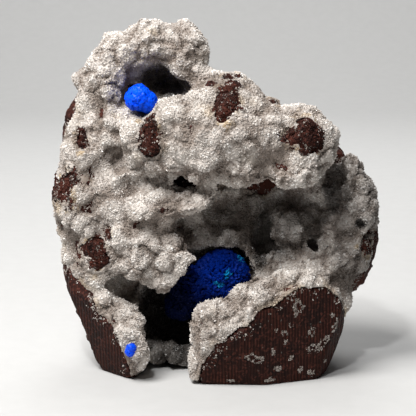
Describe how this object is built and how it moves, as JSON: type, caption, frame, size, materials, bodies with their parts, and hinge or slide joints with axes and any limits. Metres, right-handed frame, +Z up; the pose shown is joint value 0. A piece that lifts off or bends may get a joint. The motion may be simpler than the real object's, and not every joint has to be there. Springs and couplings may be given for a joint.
{
  "type": "cavansite cluster",
  "caption": "Blue cavansite sprays on a pale stilbite druse lining a hollow piece of red-brown basalt, free-standing on a flat cut base.",
  "frame": {"origin": "a point on the flat cut base, about 1 mm from the middle of the bounding box in X and Y", "axes": "+Z up, +X to the right and -Y towards the viewer of the open front"},
  "size_m": [0.0862, 0.0543, 0.0902],
  "materials": {
    "basalt": "rough broken rock, fine saw lines on the cut faces",
    "stilbite": "sugary glassy crystals",
    "cavansite": "vitreous crystals"
  },
  "bodies": {
    "root": {"basalt_matrix": "basalt", "stilbite_crust": "stilbite", "cavansite_spray_middle": "cavansite", "cavansite_spray_upper": "cavansite", "cavansite_spray_lower": "cavansite"}
  },
  "joints": []
}
